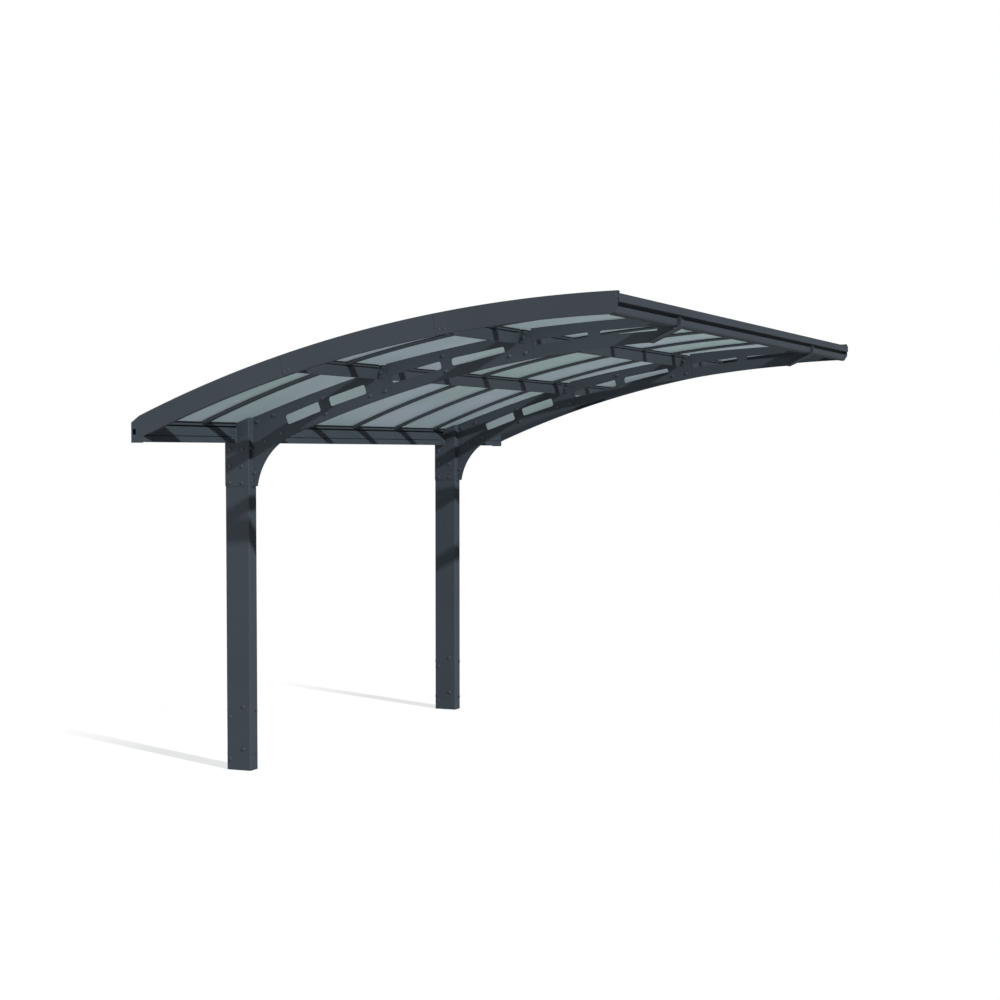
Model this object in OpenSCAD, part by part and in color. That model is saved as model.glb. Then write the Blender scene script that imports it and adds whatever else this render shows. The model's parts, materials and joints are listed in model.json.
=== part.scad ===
// Single cantilever carport with a bowed roof.
// Two posts stand along the low edge. Each carries a tapered arm pressed from two plates,
// and the arms carry two rows of purlins, a front rail, end fascias and bowed clear panels.
// Heights are above the ground. x runs from the low edge outwards, y along the roof.

/* [Roof] */
// Length of the roof, over the two end fascias
roof_length = 4950; // [4200:10:6000]
// Width of the roof, from the low edge to the outer edge
roof_width = 2815; // [2500:5:3100]
// Radius of the underside of the roof panels
roof_radius = 7322; // [6500:2:8500]
// Distance past the outer edge at which the roof would be level
crown_overrun = 115; // [0:5:300]
// Thickness of a roof panel
panel_t = 6; // [4:0.5:10]

/* [Posts] */
// Distance between the centres of the two posts
post_spacing = 2920; // [2300:10:3600]
// Post size across the roof
post_x = 160; // [130:1:200]
// Post size along the roof
post_y = 87; // [70:1:110]
// Post wall
post_wall = 4; // [3:0.5:6]
// Outer corner radius of a post
post_corner_r = 5; // [3:0.5:8]
// Height of the low beam's underside above the ground
eave_z = 1945; // [1700:5:2400]

/* [Base shoes] */
// Height of the upright box of a base shoe
shoe_h = 420; // [300:5:600]
// Wall of a base shoe
shoe_wall = 5; // [4:0.5:8]
// Thickness of the shoe's foot plate
foot_t = 10; // [6:1:16]
// Gap between a shoe and the post round it
shoe_gap = 0.5; // [0.2:0.1:1.5]
// Anchor hole diameter
anchor_d = 14; // [10:0.5:18]
// Anchor hole spacing across the roof
anchor_x = 90; // [60:1:94]
// Anchor hole spacing along the roof
anchor_y = 34; // [20:1:38]

/* [Arms] */
// Thickness of a pressed arm plate
plate_t = 3; // [2:0.5:5]
// Gap between the two plates of an arm, filled at each joint by a splice plate
plate_gap = 4; // [3:0.5:8]
// Inner radius of a bend in a root plate
bend_r = 6; // [5:0.5:10]
// Depth of an arm where the roof would be level
arm_depth = 139; // [110:1:170]
// Radius of the top edge of each arm plate, which is flatter than the roof
arm_top_r = 11000; // [8000:100:16000]
// Depth of an arm plate's top edge below the panels at its low end
arm_top_low = 5; // [3:0.5:10]
// Depth of an arm plate's top edge below the panels at its high end
arm_top_high = 24; // [18:1:30]
// Shift of the lower edge's centre outwards, which deepens the arm towards the post
arm_taper = 140; // [0:5:250]
// Overlap of an arm's side plates down the post, below the low beam
gusset_drop = 256; // [200:2:320]
// Radius of the haunch between post and arm
haunch_r = 380; // [300:5:450]
// Distance from the post to the nearest point of the haunch
haunch_gap = 29; // [15:1:60]
// Distance of the first arm joint from the low edge, at the panels
joint_1_x = 1040; // [1020:2:1080]
// Distance of the second arm joint from the low edge, at the panels
joint_2_x = 1936; // [1920:2:1970]
// Width of the seam between two arm plates
joint_seam = 1.5; // [1:0.5:3]
// Length of the flaps that bolt the arms to the low beam, along the beam
flap_l = 56; // [40:1:70]
// Height of those flaps
flap_h = 85; // [60:1:92]

/* [Arm windows] */
// Corner radius of the lightening windows
window_r = 14; // [6:0.5:20]
// Depth of the windows below the glazing bars, in the root, middle and tip plates
window_drop = [64, 64, 60]; // [54:1:72]
// Length of web left between the two windows of a plate
window_rib = 66; // [50:1:90]
// Extra length of the second window of a plate
window_growth = 14; // [0:1:30]
// Difference in height between the two windows of a plate
window_fall = 3; // [0:0.5:6]
// Distance of the first window from the low edge
window_x = 382; // [360:1:420]
// Length of web left past the first and the second joint
window_lead = [35, 20]; // [12:1:40]
// Length of web left before the first joint, the second joint and the rail
window_tail = [136, 159, 90]; // [60:1:200]
// Height of the first window of the root, middle and tip plates
window_h = [59, 46, 29]; // [20:0.5:70]

/* [Arm end brackets] */
// Width of the bracket under an arm's end
bracket_w = 88; // [70:1:110]
// Thickness of that bracket
bracket_t = 4; // [3:0.5:6]
// Length of the bracket's sloping sole
bracket_l = 180; // [140:2:220]

/* [Purlins] */
// Distance of the lower purlins' outer face from the low edge
purlin_1_x = 1010; // [980:2:1012]
// Distance of the upper purlins' outer face from the low edge
purlin_2_x = 1884; // [1850:2:1896]
// Depth of a purlin
purlin_h = 72; // [66:0.5:76]
// Width of a purlin
purlin_w = 50; // [40:1:65]
// Distance by which a purlin's outer face leans in towards its foot
purlin_lean = 18; // [10:1:24]
// Gap for the seal between the purlins and the panels
purlin_gap = 8; // [3:0.5:10]
// Purlin wall
purlin_wall = 2.5; // [2:0.5:4]
// Depth of the glazing bars below the panels
bar_depth = 14; // [10:1:20]
// Width of a glazing bar
bar_w = 44; // [34:1:60]
// Width of the glazing bar's web between two panels
bar_web_w = 8; // [6:0.5:12]
// Width of the cap strip over a glazing bar
cap_w = 50; // [40:1:64]
// Thickness of a cap strip at its middle
cap_t = 8; // [6:0.5:12]

/* [Low beam] */
// Width of the low beam
beam_w = 75.5; // [68:0.5:90]
// Height of the low beam's inner wall
beam_h = 109.5; // [96:0.5:120]
// Height of the low beam's outer lip
beam_lip_h = 98; // [80:1:104]
// Wall of the low beam and the front rail
beam_wall = 3; // [2:0.5:4]
// Gap for the seal between the low beam and the panels
seal_gap = 12; // [10:0.5:20]

/* [Front rail] */
// Height of the front rail
rail_h = 105; // [100:1:116]
// Height of the front rail's top above the panels' underside
rail_rise = 15.5; // [15:0.5:22]
// Depth of the front rail, from its outer face to its back
rail_d = 50; // [42:1:64]
// Height of the rail's lower band
rail_band_h = 44; // [36:1:48]
// Height of the groove along the rail's outer face
rail_groove_h = 20; // [14:1:22]
// Depth of that groove
rail_groove_d = 32; // [20:1:34]
// Radius of the rail's lower outer corner
rail_round_r = 20; // [12:1:26]
// Distance by which the rail's lower band stands back from its upper band
rail_band_back = 17; // [8:1:20]

/* [End fascias] */
// Height of a fascia above the panels' underside
fascia_rise = 29; // [24:1:44]
// Height of a fascia, top to bottom
fascia_h = 112; // [100:1:130]
// Distance by which a fascia stops short of the roof's outer edge
fascia_end_gap = 7; // [3:1:12]
// Radius of a fascia's lower outer corner
fascia_corner_r = 46; // [20:1:56]
// Width of a fascia along the roof
fascia_w = 30; // [24:1:45]
// Fascia wall
fascia_wall = 3; // [2:0.5:4]
// Height of the hollow lip along a fascia's top
fascia_lip_h = 13; // [10:0.5:15]
// Depth of the fascia's foot below the low beam
foot_lip = 4.5; // [3:0.5:8]

/* [Hidden] */

$fn = 48;
// Facets of the roof's large circles in a preview
arc_fn = 1440;
panel_count = 8;
frame_colour = "#434a52";
panel_colour = "#8c9da0";
shoe_colour = "#8d9195";

// The roof's circles share one centre, in the plane across the roof
crown_x = roof_width + crown_overrun;
beam_top_z = eave_z + beam_h;
centre_z = beam_top_z + seal_gap - sqrt(pow(roof_radius, 2) - pow(crown_x - beam_w, 2));
frame_r = roof_radius - bar_depth;
fascia_top_r = roof_radius + fascia_rise;
fascia_low_r = fascia_top_r - fascia_h;

// Posts stand symmetrically along the roof
first_post_y = (roof_length - post_spacing) / 2;
far_post_y = first_post_y + post_spacing;
post_ys = [first_post_y, far_post_y];

// Arm outline
arm_low_r = frame_r - arm_depth;
arm_low_x = crown_x + arm_taper;
// Turn that brings corners of the lower circle's facets close to the joints
arm_low_turn = 0.5;
gusset_z = eave_z - gusset_drop;
haunch_x = post_x + haunch_gap + haunch_r;
haunch_z = centre_z + sqrt(pow(arm_low_r - haunch_r, 2) - pow(arm_low_x - haunch_x, 2));
haunch_end_x = arm_low_x - arm_low_r * (arm_low_x - haunch_x) / (arm_low_r - haunch_r);
rail_back_x = roof_width - rail_d;
rail_face_x = roof_width - rail_band_back;
rail_z = roof_z(roof_radius, roof_width) + rail_rise - rail_h;
sole_x = roof_width - bracket_l;
sole_z = arm_low_z(sole_x);
sole_slope = atan2(rail_z - sole_z, rail_face_x - sole_x);
turn_r = rail_round_r + bracket_t;
turn_x = rail_face_x - turn_r;
turn_z = sole_z + (turn_x + turn_r * sin(sole_slope) - sole_x) * tan(sole_slope)
    + turn_r * cos(sole_slope);
// Flats along the bracket's bend
turn_steps = 16;

// Where the arm webs lie, beside an arm's middle plane, and where the flaps' bends begin
web_in = plate_gap / 2;
web_out = web_in + plate_t;
flap_bend_x = beam_w + plate_t + bend_r;

// Fascia joints, and where the foot ends inside the first stretch
fascia_joint_1 = 930;
fascia_joint_2 = 1820;
foot_end_x = beam_w + 60;
foot_edge_x = beam_w + 2;
fascia_top_z = roof_z(fascia_top_r, roof_width);

// Panels between their bars
panel_pitch = roof_length / panel_count;
panel_edge_gap = 2;

function roof_z(r, x) = centre_z + sqrt(pow(r, 2) - pow(crown_x - x, 2));
function arm_low_z(x) = centre_z + sqrt(pow(arm_low_r, 2) - pow(arm_low_x - x, 2));
function roof_angle(r, x) = acos((x - crown_x) / r);
function roof_slope(r, x) = asin((crown_x - x) / r);

// Moves the carport so that the near post's foot stands on the origin
module placed() {
    translate([-post_x / 2, -first_post_y, 0]) children();
}

// A shape drawn in x and z, as thick as from y0 to y1
module slab(y0, y1) {
    translate([0, y1, 0]) rotate([90, 0, 0]) linear_extrude(y1 - y0) children();
}

module roof_disc(r) {
    translate([crown_x, centre_z]) circle(r = r, $fn = arc_fn);
}

// A profile of (height over the panels' underside, y), bent along the roof and cut square to it
module along_roof(x_low, x_high) {
    turn_low = roof_angle(roof_radius, x_low);
    turn_high = roof_angle(roof_radius, x_high);
    translate([crown_x, 0, centre_z])
        rotate([90, 0, 0])
            rotate([0, 0, turn_high])
                rotate_extrude(angle = turn_low - turn_high, $fn = arc_fn)
                    translate([roof_radius, 0]) mirror([0, 1]) children();
}

module rounded_box_outline(w, h, r) {
    translate([r, 0]) square([w - 2 * r, h]);
    translate([0, r]) square([w, h - 2 * r]);
    for (x = [r, w - r], y = [r, h - r]) translate([x, y]) circle(r = r);
}

// ---- Posts and base shoes ----

module post_at(y) {
    color(frame_colour) placed() difference() {
        translate([0, y - post_y / 2, 0])
            linear_extrude(beam_top_z - 45) rounded_box_outline(post_x, post_y, post_corner_r);
        translate([post_wall, y - post_y / 2 + post_wall, -1])
            cube([post_x - 2 * post_wall, post_y - 2 * post_wall, beam_top_z]);
        translate([-1, y - post_y, eave_z]) cube([beam_w + 1, 2 * post_y, beam_top_z]);
    }
}

module base_shoe_at(y) {
    inset = post_wall + shoe_gap;
    shoe_x = post_x - 2 * inset;
    shoe_y = post_y - 2 * inset;
    color(shoe_colour) placed() translate([inset, y - shoe_y / 2, 0]) difference() {
        cube([shoe_x, shoe_y, shoe_h]);
        translate([shoe_wall, shoe_wall, foot_t])
            cube([shoe_x - 2 * shoe_wall, shoe_y - 2 * shoe_wall, shoe_h]);
        for (dx = [-1, 1], dy = [-1, 1])
            translate([shoe_x / 2 + dx * anchor_x / 2, shoe_y / 2 + dy * anchor_y / 2, -1])
                cylinder(d = anchor_d, h = foot_t + 2);
    }
}

// ---- Arms ----

// Window between x0 and x1 at a depth below the bars, square to the roof at its middle
module arm_window(x0, x1, drop, h) {
    mid_x = (x0 + x1) / 2;
    top_r = frame_r - drop;
    slope = roof_slope(top_r, mid_x);
    w = (x1 - x0) / cos(slope);
    translate([mid_x, roof_z(top_r, mid_x)])
        rotate(slope)
            translate([-w / 2, -h]) rounded_box_outline(w, h, min(window_r, h / 2 - 1));
}

// Two windows of a plate, with a rib of web between them
module window_pair(x0, x1, drop, h) {
    rib_x = x0 + (x1 - x0 - window_rib - window_growth) / 2;
    arm_window(x0, rib_x, drop, h);
    arm_window(rib_x + window_rib, x1, drop, h - window_fall);
}

// Side view of a whole arm with its gusset over the post, open at the top
module arm_outline() {
    starts = [window_x, joint_1_x + window_lead[0], joint_2_x + window_lead[1]];
    ends = [joint_1_x, joint_2_x, rail_back_x] - window_tail;
    difference() {
        translate([0, gusset_z]) square([rail_back_x, 2 * eave_z]);
        translate([haunch_x, haunch_z]) circle(r = haunch_r, $fn = 180);
        intersection() {
            translate([arm_low_x, centre_z]) rotate(arm_low_turn)
                circle(r = arm_low_r, $fn = arc_fn);
            translate([haunch_end_x, 0]) square([roof_width, 2 * eave_z]);
        }
        translate([-1, eave_z]) square([beam_w + 1, eave_z]);
        for (i = [0 : 2]) window_pair(starts[i], ends[i], window_drop[i], window_h[i]);
    }
}

// All that lies past a joint, which is cut square to the roof
module past_joint(x) {
    translate([x, roof_z(roof_radius, x)])
        rotate(roof_slope(roof_radius, x))
            translate([0, -roof_width]) square([roof_width, 2 * roof_width]);
}

// Disc whose rim is the top edge of the plate from x0 to x1
module plate_disc(x0, x1) {
    low = [x0, roof_z(roof_radius - arm_top_low, x0)];
    high = [x1, roof_z(roof_radius - arm_top_high, x1)];
    chord = high - low;
    reach = sqrt(pow(arm_top_r, 2) - pow(norm(chord) / 2, 2));
    centre = (low + high) / 2 + reach * [chord[1], -chord[0]] / norm(chord);
    rim = high - centre;
    translate(centre) rotate(atan2(rim[1], rim[0])) circle(r = arm_top_r, $fn = arc_fn);
}

// Side view of the plate from x0 to x1
module arm_plate(x0, x1) {
    intersection() {
        arm_outline();
        plate_disc(x0, x1);
    }
}

// Quarter of a bent sheet with its centre on the origin, over a quadrant turned by a
module bend_quarter(r_in, a) {
    rotate(a) intersection() {
        difference() {
            circle(r = r_in + plate_t);
            circle(r = r_in);
        }
        square(r_in + plate_t);
    }
}

// Plan of a left root plate: along the post's side, across its face, then out along the arm
module root_plan() {
    side_y = -post_y / 2 - plate_t;
    outer_bend_r = post_corner_r - 1;
    face_y0 = side_y + plate_t + outer_bend_r;
    face_y1 = -web_out - bend_r;
    translate([0, side_y]) square([post_x - outer_bend_r, plate_t]);
    translate([post_x - outer_bend_r, face_y0]) bend_quarter(outer_bend_r, -90);
    translate([post_x, face_y0]) square([plate_t, face_y1 - face_y0]);
    translate([post_x + plate_t + bend_r, face_y1]) bend_quarter(bend_r, 90);
    translate([post_x + plate_t + bend_r, -web_out]) square([joint_1_x, plate_t]);
}

// Flap cut free from the side plate's notch and bent out against the low beam
module root_flap() {
    side_y = -post_y / 2 - plate_t;
    bend_y = side_y - bend_r;
    translate([0, 0, eave_z]) linear_extrude(flap_h) {
        translate([beam_w, side_y - flap_l]) square([plate_t, flap_l - bend_r]);
        translate([flap_bend_x, bend_y]) bend_quarter(bend_r, 90);
        translate([flap_bend_x, side_y]) square([plate_t, plate_t]);
    }
}

// Left plates lie on the near side of an arm's middle plane, right plates mirror them
module arm_side(y, right) {
    color(frame_colour) placed() translate([0, y, 0]) mirror([0, right ? 1 : 0, 0]) children();
}

module arm_root(y, right) {
    arm_side(y, right) {
        intersection() {
            translate([0, 0, gusset_z - 1]) linear_extrude(eave_z) root_plan();
            slab(-post_y, post_y) difference() {
                arm_plate(beam_w, joint_1_x);
                past_joint(joint_1_x);
                translate([beam_w - 1, eave_z]) square([flap_bend_x - beam_w + 1, flap_h]);
            }
        }
        root_flap();
    }
}

module arm_middle(y, right) {
    arm_side(y, right) slab(-web_out, -web_in) difference() {
        intersection() {
            arm_plate(joint_1_x, joint_2_x);
            past_joint(joint_1_x + joint_seam);
        }
        past_joint(joint_2_x);
    }
}

module arm_tip(y, right) {
    arm_side(y, right) slab(-web_out, -web_in) difference() {
        intersection() {
            arm_plate(joint_2_x, rail_back_x);
            past_joint(joint_2_x + joint_seam);
        }
        sole_cut();
    }
}

// What the sloping sole of the end bracket takes off the arm's lower corner
module sole_cut() {
    polygon([
        [sole_x, sole_z], [roof_width, sole_z + bracket_l * tan(sole_slope)],
        [roof_width, gusset_z], [sole_x, gusset_z]
    ]);
}

// Plates between the webs, which reach back from each joint
module arm_splice_plates() {
    splice_l = 100;
    splice_past = 6;
    splice_h = [130, 116];
    splice_x = [joint_1_x, joint_2_x];
    splice_r = roof_radius - arm_top_high - 4;
    color(frame_colour) placed()
        for (y = post_ys, j = [0, 1])
            translate([splice_x[j], y - web_in, roof_z(splice_r, splice_x[j])])
                rotate([0, -roof_slope(splice_r, splice_x[j]), 0])
                    translate([splice_past - splice_l, 0, -splice_h[j]])
                        cube([splice_l, plate_gap, splice_h[j]]);
}

// Points along the bend of the end bracket at radius r, from the sole up to the rail's face
function bracket_bend(r) = [
    for (step = [0 : turn_steps])
        let (a = (sole_slope - 90) * (1 - step / turn_steps))
        [turn_x + r * cos(a), turn_z + r * sin(a)]
];

function reversed(points) = [for (i = [len(points) - 1 : -1 : 0]) points[i]];

// Sole under the arm's end, turned up round the rail and hooked into its groove
module arm_end_bracket(y) {
    hook_l = 11;
    hook_z = rail_z + rail_band_h;
    hook_x = rail_face_x - hook_l;
    color(frame_colour) placed() slab(y - bracket_w / 2, y + bracket_w / 2)
        polygon(concat(
            [[sole_x, sole_z]],
            [[sole_x + bracket_t * sin(sole_slope), sole_z - bracket_t * cos(sole_slope)]],
            bracket_bend(turn_r + bracket_t),
            [[rail_face_x + bracket_t, hook_z + bracket_t], [hook_x, hook_z + bracket_t]],
            [[hook_x, hook_z], [rail_face_x, hook_z]],
            reversed(bracket_bend(turn_r))
        ));
}

// ---- Low beam and front rail ----

// Open gutter section: outer lip, floor, inner wall with a slot, and a ledge over a deep groove
module low_beam_outline() {
    ledge_h = 10;
    lip_w = 9;
    slot_z = 33.5;
    slot_h = 5;
    slot_d = 7;
    groove_h = 10;
    groove_d = 20;
    groove_z = beam_h - ledge_h - groove_h;
    ledge_w = groove_d + beam_wall;
    difference() {
        square([beam_w, beam_h]);
        translate([beam_wall, beam_wall])
            square([beam_w - 2 * beam_wall - groove_d, beam_h]);
        translate([-1, beam_lip_h]) square([beam_wall + 2, beam_h]);
        difference() {
            translate([beam_w - beam_wall - groove_d - 1, beam_wall])
                square([groove_d + 1, groove_z - 2 * beam_wall]);
            translate([beam_w - slot_d - beam_wall, slot_z - beam_wall])
                square([slot_d + beam_wall, slot_h + 2 * beam_wall]);
        }
        translate([beam_w - slot_d, slot_z]) square([slot_d + 1, slot_h]);
        translate([beam_w - groove_d, groove_z]) square([groove_d + 1, groove_h]);
    }
    translate([0, beam_lip_h - beam_wall]) square([lip_w, beam_wall]);
    translate([beam_w - ledge_w, beam_h - ledge_h]) square([ledge_w, ledge_h]);
}

module low_beam() {
    color(frame_colour) placed()
        slab(fascia_wall, roof_length - fascia_wall)
            translate([0, eave_z]) low_beam_outline();
}

// Quarter of a disc at the lower outer corner of the rail's band
module rail_corner(r) {
    translate([rail_d - rail_band_back - rail_round_r, rail_round_r]) intersection() {
        circle(r = r);
        translate([0, -r]) square(r);
    }
}

// Hollow section: a lower band, a deep groove, the panels' ledge and a lip over the panels
module front_rail_outline() {
    ledge_h = roof_z(roof_radius, rail_back_x) - rail_z;
    lip_d = rail_d - 10;
    lip_t = 4;
    upper_z = rail_band_h + rail_groove_h;
    back_d = rail_d - rail_groove_d;
    band_d = rail_d - rail_band_back;
    wall = beam_wall;
    difference() {
        union() {
            square([back_d, ledge_h]);
            square([band_d - rail_round_r, rail_band_h]);
            translate([0, rail_round_r]) square([band_d, rail_band_h - rail_round_r]);
            rail_corner(rail_round_r);
            translate([0, upper_z]) square([rail_d, ledge_h - upper_z]);
            translate([rail_d - lip_d, rail_h - lip_t]) square([lip_d, lip_t]);
            translate([rail_d - wall, upper_z]) square([wall, rail_h - upper_z]);
        }
        translate([wall, wall]) square([back_d - 2 * wall, ledge_h - 2 * wall]);
        translate([wall, rail_round_r])
            square([band_d - 2 * wall, rail_band_h - rail_round_r - wall]);
        rail_corner(rail_round_r - wall);
        translate([wall, upper_z + wall])
            square([rail_d - 2 * wall, ledge_h - upper_z - 2 * wall]);
    }
}

module front_rail() {
    color(frame_colour) placed()
        slab(fascia_wall, roof_length - fascia_wall)
            translate([rail_back_x, rail_z]) front_rail_outline();
}

// ---- Purlins and their cleats ----

// Section with its top outer edge on the origin: top along the roof, leaning outer face, level foot
module purlin_outline(slope) {
    strip_h = 8.5;
    groove_h = 9.5;
    groove_d = 12;
    ceiling = max(strip_h + groove_h, purlin_w * tan(slope)) + purlin_wall;
    floor_h = purlin_h - purlin_wall;
    lean = purlin_lean / purlin_h;
    difference() {
        polygon([
            [0, 0], [-purlin_lean, -purlin_h], [-purlin_w, -purlin_h],
            [-purlin_w, -purlin_w * tan(slope)]
        ]);
        polygon([
            [-ceiling * lean - purlin_wall, -ceiling], [-floor_h * lean - purlin_wall, -floor_h],
            [purlin_wall - purlin_w, -floor_h], [purlin_wall - purlin_w, -ceiling]
        ]);
        translate([-groove_d, -strip_h - groove_h]) square([groove_d + 1, groove_h]);
    }
}

// Purlin from y0 to y1, notched where the glazing bars cross it
module purlin(x, y0, y1) {
    notch_gap = 0.3;
    slope = roof_slope(roof_radius, x - purlin_w / 2);
    notch_w = bar_w + 2;
    color(frame_colour) placed() difference() {
        slab(y0, y1) translate([x, roof_z(roof_radius - purlin_gap, x)]) purlin_outline(slope);
        for (i = [1 : panel_count - 1])
            translate([x, i * panel_pitch - notch_w / 2, roof_z(frame_r - notch_gap, x)])
                rotate([0, -slope, 0])
                    translate([-2 * purlin_w, 0, 0]) cube([3 * purlin_w, notch_w, purlin_w]);
    }
}

// Bays between the fascias and the arms
purlin_end = 12;
near_bay = [fascia_w, first_post_y - web_out - purlin_end];
middle_bay = [first_post_y + web_out + purlin_end, far_post_y - web_out - purlin_end];
far_bay = [far_post_y + web_out + purlin_end, roof_length - fascia_w];

// Angle with its foot on an arm's web and its tongue inside the purlin's leaning face
module cleat(x, web_y, side) {
    cleat_t = 4;
    cleat_h = 42;
    cleat_drop = 64;
    tongue_l = 60;
    foot_w = 40;
    lean_angle = atan(purlin_lean / purlin_h);
    translate([x, web_y, roof_z(roof_radius - purlin_gap, x)])
        rotate([0, lean_angle, 0])
            mirror([0, side > 0 ? 0 : 1, 0])
                translate([-purlin_wall - cleat_t, 0, -cleat_drop]) {
                    cube([foot_w, cleat_t, cleat_h]);
                    cube([cleat_t, tongue_l, cleat_h]);
                }
}

module purlin_cleats() {
    color(frame_colour) placed()
        for (x = [purlin_1_x, purlin_2_x], y = post_ys, side = [-1, 1])
            cleat(x, y + side * web_out, side);
}

// ---- End fascias ----

// Section of a fascia: face, foot flange, panel ledge and hollow top lip
module fascia_section() {
    low = fascia_rise - fascia_h;
    lip = fascia_rise - fascia_lip_h;
    lip_wall = fascia_wall / 2;
    translate([low, 0]) square([fascia_wall, fascia_w]);
    translate([-fascia_wall, 0]) square([fascia_wall, fascia_w]);
    translate([low, 0]) square([fascia_h, fascia_wall]);
    difference() {
        translate([lip, 0]) square([fascia_lip_h, fascia_w]);
        translate([lip + lip_wall, fascia_wall])
            square([fascia_lip_h - 2 * lip_wall, fascia_w - fascia_wall - lip_wall]);
    }
}

// Plate that closes the low beam's end and stands on its foot lip
module fascia_foot() {
    crest_x = 51;
    shoulder_z = eave_z + beam_lip_h + 8;
    foot_z = eave_z - foot_lip;
    slot_x = 8;
    slot_z = eave_z + 40;
    slot_w = 22;
    slot_h = 31;
    slab(0, fascia_wall) difference() {
        intersection() {
            roof_disc(fascia_top_r);
            polygon([
                [0, foot_z], [beam_w, foot_z], [beam_w, eave_z], [foot_end_x, eave_z],
                [foot_end_x, fascia_top_z], [crest_x, roof_z(fascia_top_r, crest_x)],
                [0, shoulder_z]
            ]);
        }
        intersection() {
            roof_disc(fascia_low_r);
            translate([foot_edge_x, eave_z - 1]) square([roof_width, eave_z]);
        }
        translate([slot_x, slot_z]) square([slot_w, slot_h]);
    }
}

// Stretches of the near fascia, cut square to the roof at each joint
module fascia_low() {
    fascia_foot();
    along_roof(beam_w, fascia_joint_1) fascia_section();
}

module fascia_middle() {
    along_roof(fascia_joint_1 + joint_seam, fascia_joint_2) fascia_section();
}

// The face and lip run on over the front rail's end, rounded at the lower corner
module fascia_high() {
    corner_r = fascia_corner_r;
    corner_bite = 2;
    notch_bite = 0.2;
    notch_z = rail_z + rail_h + 0.5;
    corner_x = roof_width - fascia_end_gap - corner_r + corner_bite;
    corner_z = roof_z(fascia_low_r, corner_x) + corner_r - corner_bite;
    difference() {
        along_roof(fascia_joint_2 + joint_seam, roof_width - fascia_end_gap) fascia_section();
        translate([rail_back_x, fascia_wall - notch_bite, 0])
            cube([2 * rail_d, fascia_w, notch_z]);
        slab(-1, fascia_w + 1) translate([corner_x, corner_z]) difference() {
            translate([0, -corner_r - 5]) square(corner_r + 5);
            circle(r = corner_r, $fn = 96);
        }
    }
}

module near_fascia() {
    color(frame_colour) placed() children();
}

module far_fascia() {
    color(frame_colour) placed() translate([0, roof_length, 0]) mirror([0, 1, 0]) children();
}

// ---- Glazing ----

// Bar between two panels: a broad seat below them and a narrow web between them
module bar_section() {
    translate([-bar_depth, -bar_w / 2]) square([bar_depth, bar_w]);
    translate([-1, -bar_web_w / 2]) square([panel_t + 1, bar_web_w]);
}

module glazing_bars() {
    low_x = beam_w - 18;
    color(frame_colour) placed() difference() {
        for (i = [1 : panel_count - 1])
            translate([0, i * panel_pitch, 0]) along_roof(low_x, rail_back_x) bar_section();
        translate([0, 0, eave_z]) cube([beam_w, roof_length, beam_h]);
    }
}

module bar_caps() {
    edge_t = cap_t / 2;
    color(frame_colour) placed()
        for (i = [1 : panel_count - 1])
            translate([0, i * panel_pitch, 0]) along_roof(30, rail_back_x + 8)
                polygon([
                    [panel_t, -cap_w / 2], [panel_t + edge_t, -cap_w / 2],
                    [panel_t + cap_t, -bar_w / 4], [panel_t + cap_t, bar_w / 4],
                    [panel_t + edge_t, cap_w / 2], [panel_t, cap_w / 2]
                ]);
}

module roof_panel(i) {
    gap = bar_web_w / 2 + panel_edge_gap;
    y0 = i == 1 ? fascia_wall + panel_edge_gap : (i - 1) * panel_pitch + gap;
    y1 = i == panel_count ? roof_length - fascia_wall - panel_edge_gap : i * panel_pitch - gap;
    color(panel_colour, 0.6) placed()
        along_roof(30, roof_width - 2 * beam_wall) translate([0, y0]) square([panel_t, y1 - y0]);
}

post_at(first_post_y);  // near_post
post_at(far_post_y);  // far_post
base_shoe_at(first_post_y);  // near_base_shoe
base_shoe_at(far_post_y);  // far_base_shoe
low_beam();
front_rail();
arm_root(first_post_y, false);  // near_arm_root_left
arm_root(first_post_y, true);  // near_arm_root_right
arm_middle(first_post_y, false);  // near_arm_middle_left
arm_middle(first_post_y, true);  // near_arm_middle_right
arm_tip(first_post_y, false);  // near_arm_tip_left
arm_tip(first_post_y, true);  // near_arm_tip_right
arm_root(far_post_y, false);  // far_arm_root_left
arm_root(far_post_y, true);  // far_arm_root_right
arm_middle(far_post_y, false);  // far_arm_middle_left
arm_middle(far_post_y, true);  // far_arm_middle_right
arm_tip(far_post_y, false);  // far_arm_tip_left
arm_tip(far_post_y, true);  // far_arm_tip_right
arm_end_bracket(first_post_y);  // near_arm_end_bracket
arm_end_bracket(far_post_y);  // far_arm_end_bracket
arm_splice_plates();
purlin(purlin_1_x, near_bay[0], near_bay[1]);  // lower_purlin_near
purlin(purlin_1_x, middle_bay[0], middle_bay[1]);  // lower_purlin_middle
purlin(purlin_1_x, far_bay[0], far_bay[1]);  // lower_purlin_far
purlin(purlin_2_x, near_bay[0], near_bay[1]);  // upper_purlin_near
purlin(purlin_2_x, middle_bay[0], middle_bay[1]);  // upper_purlin_middle
purlin(purlin_2_x, far_bay[0], far_bay[1]);  // upper_purlin_far
purlin_cleats();
near_fascia() fascia_low();  // near_fascia_low
near_fascia() fascia_middle();  // near_fascia_middle
near_fascia() fascia_high();  // near_fascia_high
far_fascia() fascia_low();  // far_fascia_low
far_fascia() fascia_middle();  // far_fascia_middle
far_fascia() fascia_high();  // far_fascia_high
glazing_bars();
bar_caps();
roof_panel(1);  // roof_panel_1
roof_panel(2);  // roof_panel_2
roof_panel(3);  // roof_panel_3
roof_panel(4);  // roof_panel_4
roof_panel(5);  // roof_panel_5
roof_panel(6);  // roof_panel_6
roof_panel(7);  // roof_panel_7
roof_panel(8);  // roof_panel_8
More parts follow.
